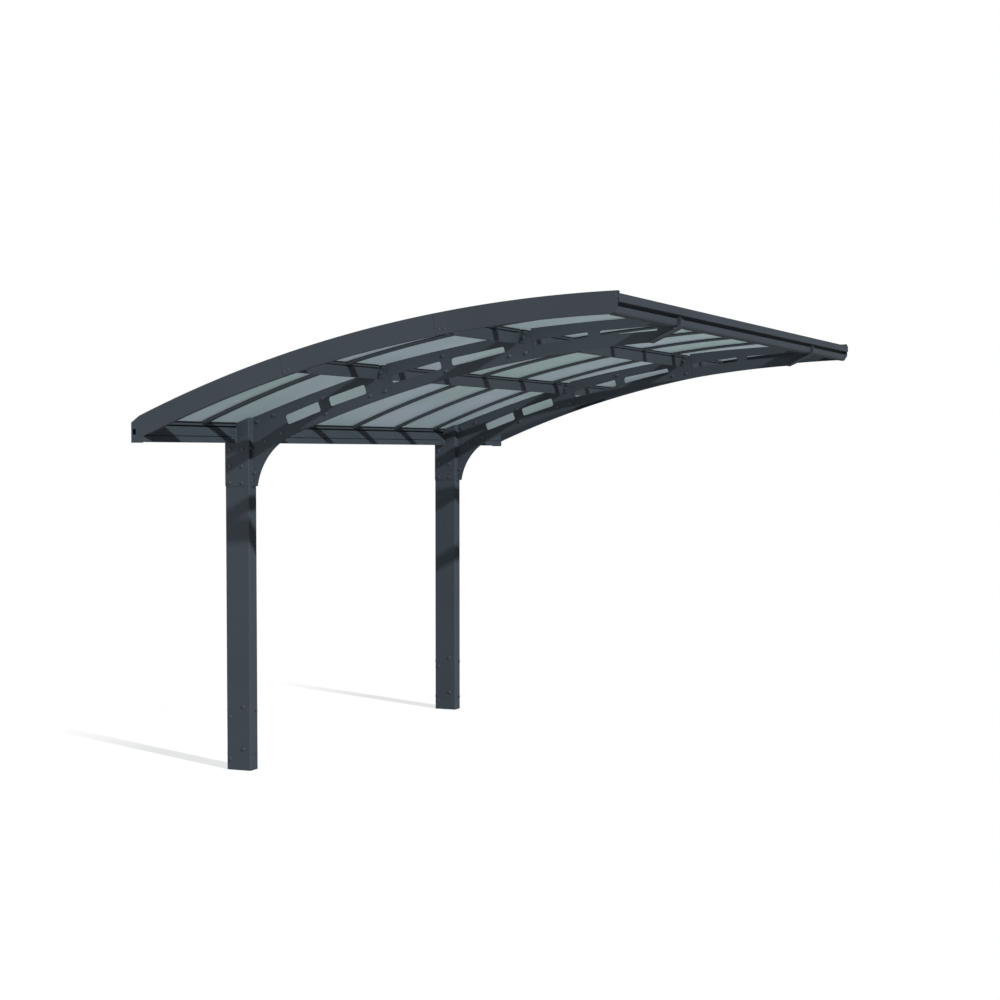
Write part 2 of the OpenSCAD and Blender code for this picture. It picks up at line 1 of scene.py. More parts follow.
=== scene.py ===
"""Looks of a single cantilever carport: small parts, seals, finishes and a plain studio.

It opens the packed model as a fixed frame and adds the small pieces around it. All
lengths are in metres in the row frame: the near post's foot is the origin, +Y runs along
the roof and +X from the low side to the high side.
"""

import json
import math

import bmesh
import bpy
from bpy.props import FloatProperty, FloatVectorProperty, IntProperty, PointerProperty
from mathutils import Matrix, Vector


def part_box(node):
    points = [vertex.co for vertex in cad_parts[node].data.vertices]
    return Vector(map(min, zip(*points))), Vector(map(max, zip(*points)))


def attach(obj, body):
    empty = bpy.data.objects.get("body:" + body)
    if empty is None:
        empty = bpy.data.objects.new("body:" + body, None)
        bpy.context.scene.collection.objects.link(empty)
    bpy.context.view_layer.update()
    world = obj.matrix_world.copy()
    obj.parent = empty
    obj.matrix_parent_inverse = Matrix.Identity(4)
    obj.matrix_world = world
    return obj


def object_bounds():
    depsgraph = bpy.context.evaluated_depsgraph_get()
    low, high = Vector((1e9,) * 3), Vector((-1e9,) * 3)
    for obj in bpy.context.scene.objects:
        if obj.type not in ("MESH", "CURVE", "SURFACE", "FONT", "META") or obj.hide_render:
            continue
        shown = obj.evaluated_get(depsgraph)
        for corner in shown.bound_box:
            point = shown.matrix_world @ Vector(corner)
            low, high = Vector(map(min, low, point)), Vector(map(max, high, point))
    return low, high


bl_info = {
    "name": "Cantilever carport looks",
    "version": (1, 0, 0),
    "blender": (4, 5, 0),
    "location": "View3D > Sidebar > Carport",
    "description": "Adds the fastenings, seals, finishes and studio around the packed carport",
    "category": "Object",
}

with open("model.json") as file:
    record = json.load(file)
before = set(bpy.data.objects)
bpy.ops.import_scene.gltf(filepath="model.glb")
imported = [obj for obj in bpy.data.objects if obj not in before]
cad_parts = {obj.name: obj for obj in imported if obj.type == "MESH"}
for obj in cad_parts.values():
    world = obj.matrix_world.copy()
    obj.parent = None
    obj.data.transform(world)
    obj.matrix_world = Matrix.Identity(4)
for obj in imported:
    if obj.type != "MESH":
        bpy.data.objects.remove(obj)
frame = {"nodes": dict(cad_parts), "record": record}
CAD_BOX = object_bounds()

X_AXIS = Vector((1, 0, 0))
Y_AXIS = Vector((0, 1, 0))


# ---- Colours ----

def linear(code):
    """Scene-linear RGBA of an sRGB hex colour."""
    def channel(v):
        return v / 12.92 if v <= 0.04045 else ((v + 0.055) / 1.055) ** 2.4
    return tuple(channel(int(code[i:i + 2], 16) / 255) for i in (1, 3, 5)) + (1.0,)


def tone(name, description, code):
    """A colour property that starts as an sRGB hex colour."""
    return FloatVectorProperty(
        name=name, description=description, default=linear(code), size=4, min=0.0, max=1.0,
        subtype="COLOR")


class CarportColours(bpy.types.PropertyGroup):
    """Colours of the finishes. Most run between two tones."""
    coat_dark: tone("Coat, dark", "Darker tone of the powder coat", "#3c434a")
    coat_light: tone("Coat, light", "Lighter tone of the powder coat", "#464d55")
    zinc_dark: tone("Zinc, dark", "Darkest crystals of the galvanised shoes", "#7b8084")
    zinc_light: tone("Zinc, light", "Lightest crystals of the galvanised shoes", "#a3a8ab")
    # Painted light: the paler lilac tone stands in for light falling unevenly on the sheets.
    sheet_painted_light: tone("Sheet, lilac", "Paler tone of the roof sheets", "#bac2cb")
    sheet_green: tone("Sheet, green", "Greener tone of the roof sheets", "#aebebe")
    sheet_through: tone("Sheet, through", "Tint of what is seen through a sheet", "#dfeef1")
    sheet_shadow: tone("Sheet, shadow", "Tint of the light that a sheet lets pass", "#f4f7f7")
    rubber_dark: tone("Rubber, dark", "Darker tone of the seals", "#0c0d0f")
    rubber_light: tone("Rubber, light", "Lighter tone of the seals", "#15171a")
    bolt_dark: tone("Fastener, dark", "Darker tone of bolts and screws", "#3f464d")
    bolt_light: tone("Fastener, light", "Lighter tone of bolts and screws", "#484f57")
    floor: tone("Floor", "Floor near the posts, before it is lifted to white", "#bcbcbc")
    sky: tone("Sky", "Even light from all around", "#f7fcff")
    backdrop: tone("Backdrop", "Far floor and background, as they are seen", "#ffffff")


# ---- Sizes ----

class CarportFrameSizes(bpy.types.PropertyGroup):
    """Sizes of the packed frame that the added pieces are laid out by."""
    roof_radius: FloatProperty(
        name="Roof radius", description="Radius of the panels' underside",
        default=7.322, subtype="DISTANCE", unit="LENGTH")
    crown_overrun: FloatProperty(
        name="Crown overrun", description="How far the roof's crown lies beyond its high edge",
        default=0.115, subtype="DISTANCE", unit="LENGTH")
    panel_thickness: FloatProperty(
        name="Panel thickness", description="Thickness of a roof panel",
        default=0.006, subtype="DISTANCE", unit="LENGTH")
    wall: FloatProperty(
        name="Sheet", description="Thickness of the fascias' faces and the arms' root plates",
        default=0.003, subtype="DISTANCE", unit="LENGTH")


class CarportBoltSizes(bpy.types.PropertyGroup):
    """Sizes of the hexagon bolts through the steel."""
    flats: FloatProperty(
        name="Across flats", description="Width of a bolt's head across its flats",
        default=0.017, subtype="DISTANCE", unit="LENGTH")
    head: FloatProperty(
        name="Head height", description="Height of a bolt's head",
        default=0.0064, subtype="DISTANCE", unit="LENGTH")
    nut: FloatProperty(
        name="Nut height", description="Height of a nut",
        default=0.0080, subtype="DISTANCE", unit="LENGTH")
    washer_d: FloatProperty(
        name="Washer diameter", description="Outer diameter of a washer",
        default=0.0200, subtype="DISTANCE", unit="LENGTH")
    washer_t: FloatProperty(
        name="Washer thickness", description="Thickness of a washer",
        default=0.0020, subtype="DISTANCE", unit="LENGTH")
    shank_d: FloatProperty(
        name="Shank diameter", description="Diameter of a bolt's shank",
        default=0.010, subtype="DISTANCE", unit="LENGTH")


class CarportScrewSizes(bpy.types.PropertyGroup):
    """Sizes of the pan-head screws in the light sections."""
    head_d: FloatProperty(
        name="Head diameter", description="Diameter of a screw's head",
        default=0.0105, subtype="DISTANCE", unit="LENGTH")
    head_h: FloatProperty(
        name="Head height", description="Height of a screw's head",
        default=0.0032, subtype="DISTANCE", unit="LENGTH")
    cap_pitch: FloatProperty(
        name="Cap screw pitch", description="Distance between two screws along a glazing cap",
        default=0.340, subtype="DISTANCE", unit="LENGTH")


class CarportSealSizes(bpy.types.PropertyGroup):
    """Sizes of the rubber strips around the panels."""
    lip_w: FloatProperty(
        name="Lip width", description="Width of the strip that shows beside a glazing bar",
        default=0.0022, subtype="DISTANCE", unit="LENGTH")
    lip_h: FloatProperty(
        name="Lip height", description="Height of the strip beside a glazing bar",
        default=0.0045, subtype="DISTANCE", unit="LENGTH")
    edge_h: FloatProperty(
        name="Edge strip height",
        description="Height of the strips on the panels along the fascias",
        default=0.008, subtype="DISTANCE", unit="LENGTH")
    steps: IntProperty(
        name="Steps", description="Straight steps in a strip that follows the roof", default=40)


class CarportStage(bpy.types.PropertyGroup):
    """Floor, lights and camera of the studio."""
    sun_travel: FloatVectorProperty(
        name="Sun travel", description="Direction that the sunlight travels in",
        default=(-1.0, 0.461, -0.555), subtype="DIRECTION")
    sun_strength: FloatProperty(
        name="Sun strength", description="Strength of the sun lamp", default=3.5)
    sun_angle: FloatProperty(
        name="Sun width", description="Angle that the sun lamp fills, for the softness of shadows",
        default=math.radians(0.9), subtype="ANGLE", unit="ROTATION")
    fill: FloatProperty(
        name="Fill light", description="Strength of the even light from all around", default=0.16)
    front_place: FloatVectorProperty(
        name="Front light place", description="Where the broad soft light stands",
        default=(-0.8, -9.0, 1.6), subtype="TRANSLATION", unit="LENGTH")
    front_aim: FloatVectorProperty(
        name="Front light aim", description="Point that the soft light faces",
        default=(0.6, 0.0, 1.8), subtype="TRANSLATION", unit="LENGTH")
    front_power: FloatProperty(
        name="Front light power", description="Power of the soft light",
        default=225.0, unit="POWER")
    front_size: FloatProperty(
        name="Front light size", description="Side of the soft light",
        default=3.0, subtype="DISTANCE", unit="LENGTH")
    back_travel: FloatVectorProperty(
        name="Back light travel", description="Direction of the even light on the low side",
        default=(1.0, -0.6, -0.25), subtype="DIRECTION")
    back_strength: FloatProperty(
        name="Back light strength", description="Strength of that light", default=1.6)
    back_angle: FloatProperty(
        name="Back light width", description="Angle that the back light fills",
        default=math.radians(60), subtype="ANGLE", unit="ROTATION")
    floor_size: FloatProperty(
        name="Floor size", description="Length of a side of the floor",
        default=90.0, subtype="DISTANCE", unit="LENGTH")
    floor_lift: FloatProperty(
        name="Floor lift", description="Light that the camera sees added to the lit floor",
        default=0.63, min=0.0, max=1.0, subtype="FACTOR")
    far_bounce: FloatProperty(
        name="Far floor bounce", description="Light that the far floor gives back to the carport",
        default=0.35, min=0.0, max=1.0, subtype="FACTOR")
    fade_start: FloatProperty(
        name="Fade start", description="Distance from the posts where the floor starts to fade out",
        default=0.9, subtype="DISTANCE", unit="LENGTH")
    fade_end: FloatProperty(
        name="Fade end", description="Distance from the posts where the floor is white",
        default=2.0, subtype="DISTANCE", unit="LENGTH")
    camera_place: FloatVectorProperty(
        name="Camera place", description="Where the camera stands",
        default=(5.825, -9.689, 1.880), subtype="TRANSLATION", unit="LENGTH")
    camera_turn: FloatVectorProperty(
        name="Camera turn", description="How the camera is turned",
        default=(math.radians(87.6), 0.0, math.radians(23.2)), subtype="EULER", unit="ROTATION")
    camera_lens: FloatProperty(
        name="Camera lens", description="Focal length in millimetres on a 36 mm sensor",
        default=67.93, unit="CAMERA")
    camera_rise: FloatProperty(
        name="Camera rise", description="Vertical shift of the picture, in sensor widths",
        default=0.033)


# ---- Places and small sizes, in metres ----

# Post feet. Bolts on the sides: distance in from the low face, height above the ground.
FOOT_BOLTS = [(0.028, 0.066), (0.118, 0.130), (0.028, 0.319), (0.118, 0.384)]
# Bolts on the other two faces: height above the ground, and distance from the middle.
FOOT_END_Z, FOOT_END_Y = (0.092, 0.352), 0.020
# Ground anchors: stud, its foot and its end above the ground, washer, and nut over its corners.
ANCHOR_D, ANCHOR_FOOT, ANCHOR_TOP = 0.012, 0.001, 0.040
ANCHOR_WASHER_D, ANCHOR_NUT_D = 0.024, 0.0208
# The shoes' sole plate, and the top of the nuts over it.
SOLE_T, ANCHOR_NUT_H = 0.010, 0.012

# Arm roots. Bolts on the sides: distance in from the post's low face, height above the ground.
SIDE_BOLTS = [(0.035, 1.905), (0.121, 1.905), (0.035, 1.808), (0.121, 1.808),
              (0.035, 1.711), (0.121, 1.711)]
# Bolts on the front strip: height above the ground, and distance from the arm's middle.
STRIP_BOLT_Z, STRIP_BOLT_Y = (1.914, 1.722), 0.026
# Flaps on the low beam: distance out from the side plate, height over the beam's foot.
FLAP_BOLTS = [(0.032, 0.020), (0.032, 0.066)]
# Bolts through the two webs: distance in from the post's low face, depth below the panels.
WEB_BOLTS = [(0.182, 0.317), (0.200, 0.046), (0.312, 0.051), (0.255, 0.173), (0.363, 0.170),
             (0.640, 0.074), (0.661, 0.163), (0.950, 0.153), (1.430, 0.141), (1.408, 0.051),
             (1.818, 0.135)]
# Bolts at the arms' two joints and through the purlins' cleats, measured likewise.
JOINT_BOLTS = [(1.048, 0.155), (1.915, 0.134)]
CLEAT_BOLTS = [(1.015, 0.046), (1.899, 0.049)]
# Sheet of the cleats.
CLEAT_T = 0.004

# The end brackets' sheet and the inner radius of their bend.
BRACKET_T, BRACKET_BEND_R = 0.004, 0.024
# Their cheeks: depth at the start and round the bend, sheet, and height above the bracket.
CHEEK_START_D, CHEEK_D, CHEEK_T, CHEEK_RISE = 0.001, 0.016, 0.004, 0.007
CHEEK_BEND_STEPS = 8

# Screws past each fascia seam, and their height over the panels' underside.
SEAM_SCREWS, SEAM_SCREW_H = (0.014, 0.044), -0.058
# Screw at a fascia's high end: distance in from the end, height over the panels' underside.
END_SCREW_IN, END_SCREW_H = 0.009, 0.008
# Joiners behind the seams: half their length, sheet, lower and upper edge, steps along the roof.
JOINER_HALF_L, JOINER_T, JOINER_EDGES, JOINER_STEPS = 0.045, 0.002, (-0.0795, -0.0035), 6

# The glazing bars, their half width, and the caps over them.
BAR_COUNT, BAR_HALF_W = 7, 0.022
CAP_W, CAP_T = 0.050, 0.008
# Distance of a cap's end screws from its ends.
CAP_END = 0.050
# Seal on the low beam: in from the beam's face to its two sides, and clearance to the panels.
LOW_SEAL, LOW_SEAL_GAP = (0.012, 0.002), 0.0025
# Seals along the bars: in from the low beam and from the bars' high ends.
BAR_SEAL_ENDS = (0.002, 0.001)
# Seals on the purlins: heights over the panels' underside, in from the purlin's high face, steps.
PURLIN_SEAL_EDGES, PURLIN_SEAL, PURLIN_SEAL_STEPS = (-0.0078, -0.0003), (0.044, 0.002), 4
# Strips on the panels along the fascias: in from a fascia's face, and from the low beam.
EDGE_SEAL, EDGE_SEAL_START = (0.001, 0.022), 0.010

# Rounded edges of washers, hexagons, bolt shanks, anchor studs and screw heads.
WASHER_EDGE, HEX_EDGE, SHANK_EDGE, STUD_EDGE, SCREW_EDGE = 0.0003, 0.0009, 0.0006, 0.0010, 0.0011
# Sides of washers, shanks, anchor studs and screw heads.
WASHER_SIDES, SHANK_SIDES, STUD_SIDES, SCREW_SIDES = 24, 16, 20, 20
# A shank's thread past its nut, and how far a screw's head starts inside the sheet.
THREAD_PAST, SCREW_SUNK = 0.003, 0.001
# Edges that turn by more than this, in radians, are rounded.
RIM_TURN = 1.2
# The floor lies this far below the feet, so that the two faces don't coincide.
FLOOR_GAP = 0.0002


# ---- Finishes ----

# Colour sockets of a mix node: its two inputs and its output.
MIX_A, MIX_B, MIX_OUT = 6, 7, 2


def add(tree, kind, settings=None, links=None):
    """A new node of that kind, with its settings or socket values, and its inputs linked."""
    n = tree.nodes.new(kind)
    for name, value in (settings or {}).items():
        if isinstance(name, int) or name in n.inputs:
            n.inputs[name].default_value = value
        else:
            setattr(n, name, value)
    for name, socket in (links or {}).items():
        tree.links.new(socket, n.inputs[name])
    return n


def new_material(name):
    """An empty node material and its tree and output."""
    m = bpy.data.materials.new(name)
    m.use_nodes = True
    m.node_tree.nodes.clear()
    return m, m.node_tree, add(m.node_tree, "ShaderNodeOutputMaterial")


def object_mm(tree):
    """Object coordinates in millimetres, so that a pattern's Scale is 1 over its size."""
    place = add(tree, "ShaderNodeTexCoord")
    scale = add(tree, "ShaderNodeVectorMath", {"operation": "SCALE", "Scale": 1000.0})
    tree.links.new(place.outputs["Object"], scale.inputs[0])
    return scale.outputs[0]


def powder_coat(colours):
    """Anthracite polyester powder on steel: even and dull, with a fine orange peel."""
    m, tree, out = new_material("powder_coated_steel_anthracite")
    place = object_mm(tree)
    # Slow drift of tone across a sheet, which keeps large faces from looking printed.
    drift = add(tree, "ShaderNodeTexNoise", {"Scale": 1 / 420}, {"Vector": place})
    paint = add(
        tree, "ShaderNodeMix",
        {"data_type": "RGBA", MIX_A: colours.coat_dark, MIX_B: colours.coat_light},
        {"Factor": drift.outputs["Fac"]})
    # Fine grain of the cured powder, just enough to break up the flat tone.
    grain = add(tree, "ShaderNodeTexNoise", {"Scale": 1 / 2.2, "Detail": 1.0}, {"Vector": place})
    speck = add(
        tree, "ShaderNodeMix",
        {"data_type": "RGBA", MIX_A: linear("#c9cbcc"), MIX_B: linear("#ffffff")},
        {"Factor": grain.outputs["Fac"]})
    grained = add(
        tree, "ShaderNodeMix",
        {"data_type": "RGBA", "blend_type": "MULTIPLY", "Factor": 0.55},
        {MIX_A: paint.outputs[MIX_OUT], MIX_B: speck.outputs[MIX_OUT]})
    # Orange peel: low, wide waves that soften the sheen along edges.
    waves = add(tree, "ShaderNodeTexNoise", {"Scale": 1 / 3.5}, {"Vector": place})
    peel = add(
        tree, "ShaderNodeBump", {"Strength": 0.12, "Distance": 0.0004},
        {"Height": waves.outputs["Fac"]})
    shade = add(
        tree, "ShaderNodeBsdfPrincipled",
        {"Roughness": 0.68, "IOR": 1.46, "Specular IOR Level": 0.18},
        {"Base Color": grained.outputs[MIX_OUT], "Normal": peel.outputs["Normal"]})
    tree.links.new(shade.outputs[0], out.inputs["Surface"])
    return m


def galvanised(colours):
    """Hot-dip zinc on the shoes: pale grey crystals of slightly different tone."""
    m, tree, out = new_material("galvanised_steel")
    place = object_mm(tree)
    # Spangle: flat crystals about 12 mm across.
    cells = add(tree, "ShaderNodeTexVoronoi", {"Scale": 1 / 12}, {"Vector": place})
    spangle = add(
        tree, "ShaderNodeMix",
        {"data_type": "RGBA", MIX_A: colours.zinc_dark, MIX_B: colours.zinc_light},
        {"Factor": cells.outputs["Color"]})
    # Dull patches where the zinc has weathered.
    patches = add(tree, "ShaderNodeTexNoise", {"Scale": 1 / 60}, {"Vector": place})
    wear = add(
        tree, "ShaderNodeMapRange", {"To Min": 0.36, "To Max": 0.62},
        {"Value": patches.outputs["Fac"]})
    shade = add(
        tree, "ShaderNodeBsdfPrincipled", {"Metallic": 0.85},
        {"Base Color": spangle.outputs[MIX_OUT], "Roughness": wear.outputs[0]})
    tree.links.new(shade.outputs[0], out.inputs["Surface"])
    return m


def clear_sheet(colours):
    """Frosted, tinted sheet: soft grey-green with paler zones of painted light, lit through from
    the side away from the eye.
    """
    m, tree, out = new_material("tinted_frosted_polycarbonate")
    place = object_mm(tree)
    ray = add(tree, "ShaderNodeLightPath")
    # A sheet this thin throws only a faint shadow, so sunlight keeps most of its strength.
    pass_on = add(
        tree, "ShaderNodeMix",
        {"data_type": "RGBA", MIX_A: colours.sheet_through, MIX_B: colours.sheet_shadow},
        {"Factor": ray.outputs["Is Shadow Ray"]})
    through = add(tree, "ShaderNodeBsdfTransparent", links={"Color": pass_on.outputs[MIX_OUT]})
    # Painted light: broad zones of paler lilac grey stand in for light falling unevenly on the
    # sheet, between stretches of its grey-green tint.
    painted_light_zones = add(
        tree, "ShaderNodeTexNoise", {"Scale": 1 / 700, "Detail": 0.5}, {"Vector": place})
    edge = add(
        tree, "ShaderNodeMapRange", {"From Min": 0.32, "From Max": 0.68},
        {"Value": painted_light_zones.outputs["Fac"]})
    tint_and_painted_light = add(
        tree, "ShaderNodeMix",
        {"data_type": "RGBA", MIX_A: colours.sheet_painted_light, MIX_B: colours.sheet_green},
        {"Factor": edge.outputs[0]}).outputs[MIX_OUT]
    # The frosted face shows its tint with those zones of painted light, and light from behind glows
    # through it.
    face = add(
        tree, "ShaderNodeBsdfPrincipled",
        {"Roughness": 0.35, "IOR": 1.5, "Specular IOR Level": 0.3},
        {"Base Color": tint_and_painted_light})
    glow = add(tree, "ShaderNodeBsdfTranslucent", links={"Color": tint_and_painted_light})
    body = add(tree, "ShaderNodeMixShader", {0: 0.5}, {1: face.outputs[0], 2: glow.outputs[0]})
    # Little is seen straight through it, and what is stands close behind.
    haze = add(
        tree, "ShaderNodeMapRange", {"To Min": 0.78, "To Max": 0.0},
        {"Value": ray.outputs["Is Shadow Ray"]})
    mix = add(
        tree, "ShaderNodeMixShader",
        links={0: haze.outputs[0], 1: through.outputs[0], 2: body.outputs[0]})
    tree.links.new(mix.outputs[0], out.inputs["Surface"])
    return m


def rubber(colours):
    """Black sealing rubber: soft, dull and darker than the paint."""
    m, tree, out = new_material("black_sealing_rubber")
    # Faint bloom on the rubber, about 9 mm across.
    bloom = add(tree, "ShaderNodeTexNoise", {"Scale": 1 / 9}, {"Vector": object_mm(tree)})
    black = add(
        tree, "ShaderNodeMix",
        {"data_type": "RGBA", MIX_A: colours.rubber_dark, MIX_B: colours.rubber_light},
        {"Factor": bloom.outputs["Fac"]})
    shade = add(
        tree, "ShaderNodeBsdfPrincipled", {"Roughness": 0.8, "Specular IOR Level": 0.2},
        {"Base Color": black.outputs[MIX_OUT]})
    tree.links.new(shade.outputs[0], out.inputs["Surface"])
    return m


def coated_bolt(colours):
    """Dark coated fastener: smoother than the paint, so that its head catches the light."""
    m, tree, out = new_material("dark_coated_fastener_steel")
    # Slight change of tone from head to head.
    patches = add(tree, "ShaderNodeTexNoise", {"Scale": 1 / 4}, {"Vector": object_mm(tree)})
    coat = add(
        tree, "ShaderNodeMix",
        {"data_type": "RGBA", MIX_A: colours.bolt_dark, MIX_B: colours.bolt_light},
        {"Factor": patches.outputs["Fac"]})
    shade = add(
        tree, "ShaderNodeBsdfPrincipled", {"Roughness": 0.42, "Specular IOR Level": 0.4},
        {"Base Color": coat.outputs[MIX_OUT]})
    tree.links.new(shade.outputs[0], out.inputs["Surface"])
    return m


def white_floor(colours, stage):
    """Plain white floor that keeps the shadow near the posts and fades out away from them."""
    m, tree, out = new_material("white_studio_floor")
    place = add(tree, "ShaderNodeTexCoord")
    across = add(tree, "ShaderNodeSeparateXYZ", links={"Vector": place.outputs["Object"]})
    away = add(tree, "ShaderNodeMath", {"operation": "ABSOLUTE"}, {0: across.outputs["X"]})
    fade = add(
        tree, "ShaderNodeMapRange",
        {"From Min": stage.fade_start, "From Max": stage.fade_end},
        {"Value": away.outputs[0]})
    ray = add(tree, "ShaderNodeLightPath")
    # Middle grey, so that its bounce stays gentle; the camera sees it lifted to white.
    ground = add(tree, "ShaderNodeBsdfDiffuse", {"Color": colours.floor})
    lift = add(
        tree, "ShaderNodeMath", {"operation": "MULTIPLY", 1: stage.floor_lift},
        {0: ray.outputs["Is Camera Ray"]})
    glow = add(
        tree, "ShaderNodeEmission", {"Color": colours.backdrop}, {"Strength": lift.outputs[0]})
    lit = add(tree, "ShaderNodeAddShader", links={0: ground.outputs[0], 1: glow.outputs[0]})
    # Far from the posts it is plain white to the eye, with a weaker bounce.
    far_lift = add(
        tree, "ShaderNodeMath",
        {"operation": "MULTIPLY_ADD", 1: 1.0 - stage.far_bounce, 2: stage.far_bounce},
        {0: ray.outputs["Is Camera Ray"]})
    far = add(
        tree, "ShaderNodeEmission", {"Color": colours.backdrop},
        {"Strength": far_lift.outputs[0]})
    mix = add(
        tree, "ShaderNodeMixShader",
        links={0: fade.outputs[0], 1: lit.outputs[0], 2: far.outputs[0]})
    tree.links.new(mix.outputs[0], out.inputs["Surface"])
    return m


# The finishes made so far, and the one that each of the CAD's material slots gets.
FINISHES = {}
SLOT_FINISH = {"frame": powder_coat, "zinc": galvanised, "panel": clear_sheet}


def finish_of(maker):
    """The material that a maker makes, made once."""
    if maker not in FINISHES:
        FINISHES[maker] = maker(bpy.context.scene.carport_colours)
    return FINISHES[maker]


# ---- Shared geometry ----

def box_of(node):
    """Lowest and highest corner of a CAD node as vectors."""
    low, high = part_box(node)
    return Vector(low), Vector(high)


def roof_centre(sizes):
    """Centre of the roof's circles, as (x, z)."""
    high = box_of("roof_panel_1")[1]
    roof_high_x = box_of("near_fascia_high")[1].x
    x = roof_high_x + sizes.crown_overrun
    top_r = sizes.roof_radius + sizes.panel_thickness
    return x, high.z - math.sqrt(top_r ** 2 - (x - high.x) ** 2)


def roof_point(sizes, x, h):
    """Place of a point h above the panels' underside, measured square to the roof at x."""
    cx, cz = roof_centre(sizes)
    a = math.acos((x - cx) / sizes.roof_radius)
    r = sizes.roof_radius + h
    return Vector((cx + r * math.cos(a), 0.0, cz + r * math.sin(a)))


def web_point(sizes, x, depth, y):
    """Place at x and y that lies a depth below the panels, measured square to the roof."""
    cx, cz = roof_centre(sizes)
    return Vector((x, y, cz + math.sqrt((sizes.roof_radius - depth) ** 2 - (cx - x) ** 2)))


def roof_tilt(sizes, x):
    """Angle of the roof's slope at x."""
    return math.asin((roof_centre(sizes)[0] - x) / sizes.roof_radius)


def finished(name, bm, maker):
    """Makes a finished object from a bmesh, which rides the one body."""
    bmesh.ops.recalc_face_normals(bm, faces=bm.faces)
    mesh = bpy.data.meshes.new(name)
    bm.to_mesh(mesh)
    bm.free()
    obj = bpy.data.objects.new(name, mesh)
    bpy.context.scene.collection.objects.link(obj)
    mesh.materials.append(finish_of(maker))
    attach(obj, "root")


def facing(point, normal, turn=0.0):
    """A matrix that puts +Z along normal at a point."""
    return (
        Matrix.Translation(point)
        @ normal.to_track_quat("Z", "Y").to_matrix().to_4x4()
        @ Matrix.Rotation(turn, 4, "Z")
    )


def add_cylinder(bm, place, d, z0, z1, segments, bevel):
    """A closed cylinder from z0 to z1 along the place's own Z, its rims rounded."""
    made = bmesh.ops.create_cone(
        bm, cap_ends=True, segments=segments, radius1=d / 2, radius2=d / 2, depth=z1 - z0,
        matrix=place @ Matrix.Translation((0, 0, (z0 + z1) / 2)))
    rim = dict.fromkeys(
        e for v in made["verts"] for e in v.link_edges
        if len(e.link_faces) == 2 and abs(e.calc_face_angle(0)) > RIM_TURN)
    bmesh.ops.bevel(
        bm, geom=list(rim), offset=bevel, offset_type="OFFSET", segments=2,
        profile=0.5, affect="EDGES", material=-1)


def add_block(bm, low, high):
    """A closed block between two corners."""
    size = high - low
    bmesh.ops.create_cube(
        bm, size=1.0,
        matrix=Matrix.Translation((low + high) / 2)
        @ Matrix.Diagonal((size.x, size.y, size.z, 1.0)))


def add_bolt(bm, sizes, point, normal, grip=0.0, turn=0.0):
    """A hexagon head on a washer, and with a grip its shank and the washer and nut behind.

    The turn differs from bolt to bolt, so that the heads stand as they were tightened.
    """
    place = facing(point, normal, turn)
    across_corners = sizes.flats / math.cos(math.pi / 6)
    head_top = sizes.washer_t + sizes.head
    add_cylinder(
        bm, place, sizes.washer_d, 0.0, sizes.washer_t, WASHER_SIDES, WASHER_EDGE)
    add_cylinder(bm, place, across_corners, sizes.washer_t, head_top, 6, HEX_EDGE)
    if grip:
        nut_top = -grip - sizes.washer_t
        nut_end = nut_top - sizes.nut
        add_cylinder(
            bm, place, sizes.shank_d, nut_end - THREAD_PAST, 0.0, SHANK_SIDES, SHANK_EDGE)
        add_cylinder(bm, place, sizes.washer_d, nut_top, -grip, WASHER_SIDES, WASHER_EDGE)
        add_cylinder(bm, place, across_corners, nut_end, nut_top, 6, HEX_EDGE)


def add_screw(bm, sizes, point, normal):
    """A pan-head screw's head."""
    add_cylinder(
        bm, facing(point, normal), sizes.head_d, -SCREW_SUNK, sizes.head_h, SCREW_SIDES,
        SCREW_EDGE)


def add_strip(bm, sizes, steps, profile, x0, x1):
    """A closed profile of (height over the panels' underside, y) swept along the roof."""
    cx, cz = roof_centre(sizes)
    start = math.acos((x0 - cx) / sizes.roof_radius)
    end = math.acos((x1 - cx) / sizes.roof_radius)
    corners = []
    for h, y in profile:
        r = sizes.roof_radius + h
        corners.append(bm.verts.new((cx + r * math.cos(start), y, cz + r * math.sin(start))))
    face = bm.faces.new(corners)
    bmesh.ops.spin(
        bm, geom=[face] + list(face.edges) + corners, cent=(cx, 0, cz), axis=(0, 1, 0),
        angle=start - end, steps=steps, use_merge=False, use_duplicate=False)


def block_profile(h0, h1, y0, y1):
    """A rectangle of (height, y) corners for add_strip."""
    return [(h0, y0), (h0, y1), (h1, y1), (h1, y0)]


